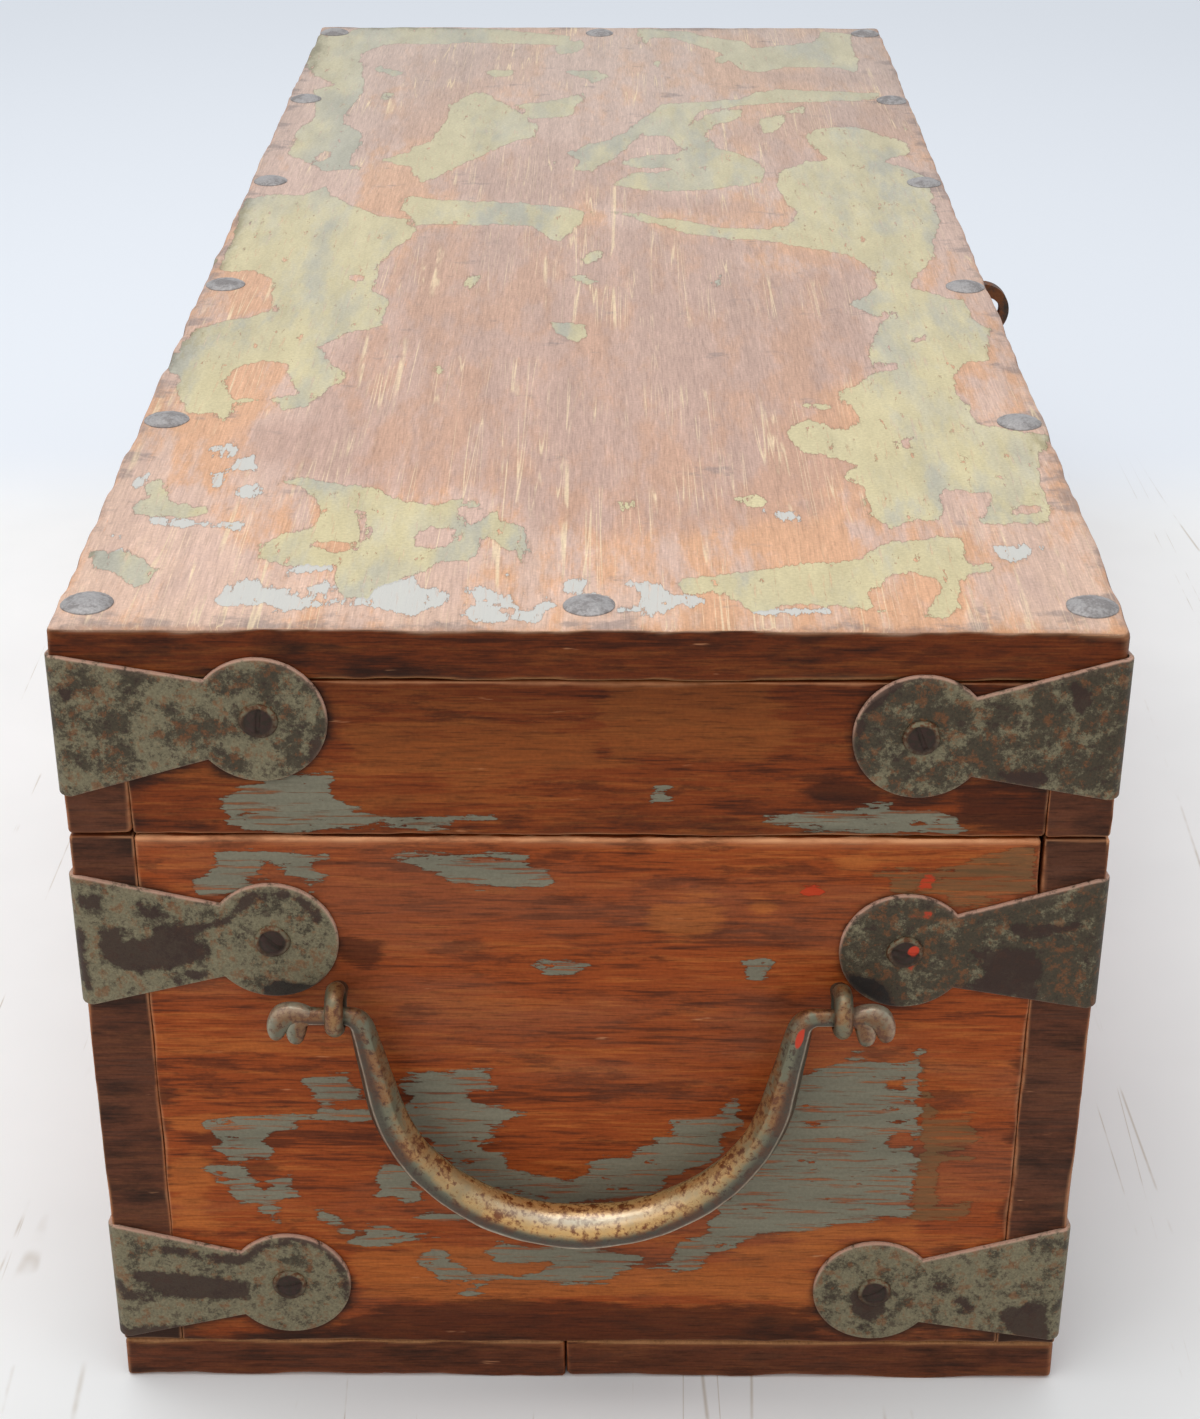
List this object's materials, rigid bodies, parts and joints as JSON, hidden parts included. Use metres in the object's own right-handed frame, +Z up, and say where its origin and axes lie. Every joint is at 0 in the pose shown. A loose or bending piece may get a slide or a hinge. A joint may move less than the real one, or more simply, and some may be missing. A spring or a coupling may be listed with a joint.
{
  "type": "wooden travelling chest",
  "caption": "Long narrow teak chest with a nailed lift-up lid, sheet-iron corner straps, drop handles on both ends, back hinges and a hasp.",
  "frame": {"origin": "on the floor, under the middle of the chest's base", "axes": "+Z up; the long axis is Y, with the near end at -Y and the far end at +Y; +X is the front with the hasp, -X the back with the hinges"},
  "size_m": [0.2643, 0.627, 0.2178],
  "materials": {
    "teak": "worn bare teak with the remains of grey-green paint",
    "painted_sheet_iron": "grey-green paint worn through to rust and bare iron at the edges",
    "screw_iron": "dull oxidised iron, slotted dome heads",
    "nail_iron": "dark oxidised iron, domed or flush heads",
    "forged_iron": "forged iron, hand-worn, with golden-brown rust",
    "hinge_iron": "thin grey-green paint over rusted sheet iron",
    "pin_iron": "worn iron rod"
  },
  "bodies": {
    "chest": {"side_board_front": "teak", "side_board_back": "teak", "end_board_near": "teak", "end_board_far": "teak", "bottom_plank_front": "teak", "bottom_plank_back": "teak", "upper_strap_near_front": "painted_sheet_iron", "upper_strap_far_front": "painted_sheet_iron", "upper_strap_far_back": "painted_sheet_iron", "upper_strap_near_back": "painted_sheet_iron", "lower_strap_near_front": "painted_sheet_iron", "lower_strap_far_front": "painted_sheet_iron", "lower_strap_far_back": "painted_sheet_iron", "lower_strap_near_back": "painted_sheet_iron", "chest_strap_screws": "screw_iron", "chest_hinge_screws": "screw_iron", "hasp_screws": "screw_iron", "corner_nails": "nail_iron", "bottom_nails": "nail_iron", "near_eye_front": "forged_iron", "near_eye_back": "forged_iron", "far_eye_front": "forged_iron", "far_eye_back": "forged_iron", "hinge_leaf_chest_near": "hinge_iron", "hinge_leaf_chest_far": "hinge_iron", "hasp_plate": "hinge_iron", "hinge_pin_near": "pin_iron", "hinge_pin_far": "pin_iron", "hasp_pin": "pin_iron"},
    "lid": {"lid_top_board": "teak", "lid_rim_front": "teak", "lid_rim_back": "teak", "lid_rim_near": "teak", "lid_rim_far": "teak", "lid_strap_near_front": "painted_sheet_iron", "lid_strap_far_front": "painted_sheet_iron", "lid_strap_far_back": "painted_sheet_iron", "lid_strap_near_back": "painted_sheet_iron", "lid_strap_screws": "screw_iron", "lid_dome_nails": "nail_iron", "lid_corner_nails": "nail_iron", "hinge_leaf_lid_near": "hinge_iron", "hinge_leaf_lid_far": "hinge_iron", "lid_hinge_screws": "screw_iron", "padlock_lug": "hinge_iron", "lug_washer": "hinge_iron"},
    "near_bail": {"near_handle": "forged_iron"},
    "far_bail": {"far_handle": "forged_iron"},
    "hasp": {"hasp_arm": "hinge_iron"}
  },
  "joints": [
    {"name": "lid_hinge", "type": "hinge", "parent": "chest", "child": "lid", "pos_m": [-0.1243, 0, 0.163], "axis": [0, -1, 0], "range_deg": [0, 180]},
    {"name": "near_bail_swing", "type": "hinge", "parent": "chest", "child": "near_bail", "pos_m": [0, -0.307, 0.1193], "axis": [-1, 0, 0], "range_deg": [-2.5, 180]},
    {"name": "far_bail_swing", "type": "hinge", "parent": "chest", "child": "far_bail", "pos_m": [0, 0.307, 0.1193], "axis": [1, 0, 0], "range_deg": [-2.5, 180]},
    {"name": "hasp_swing", "type": "hinge", "parent": "chest", "child": "hasp", "pos_m": [0.1243, 0, 0.148], "axis": [0, -1, 0], "range_deg": [-4, 180]}
  ]
}
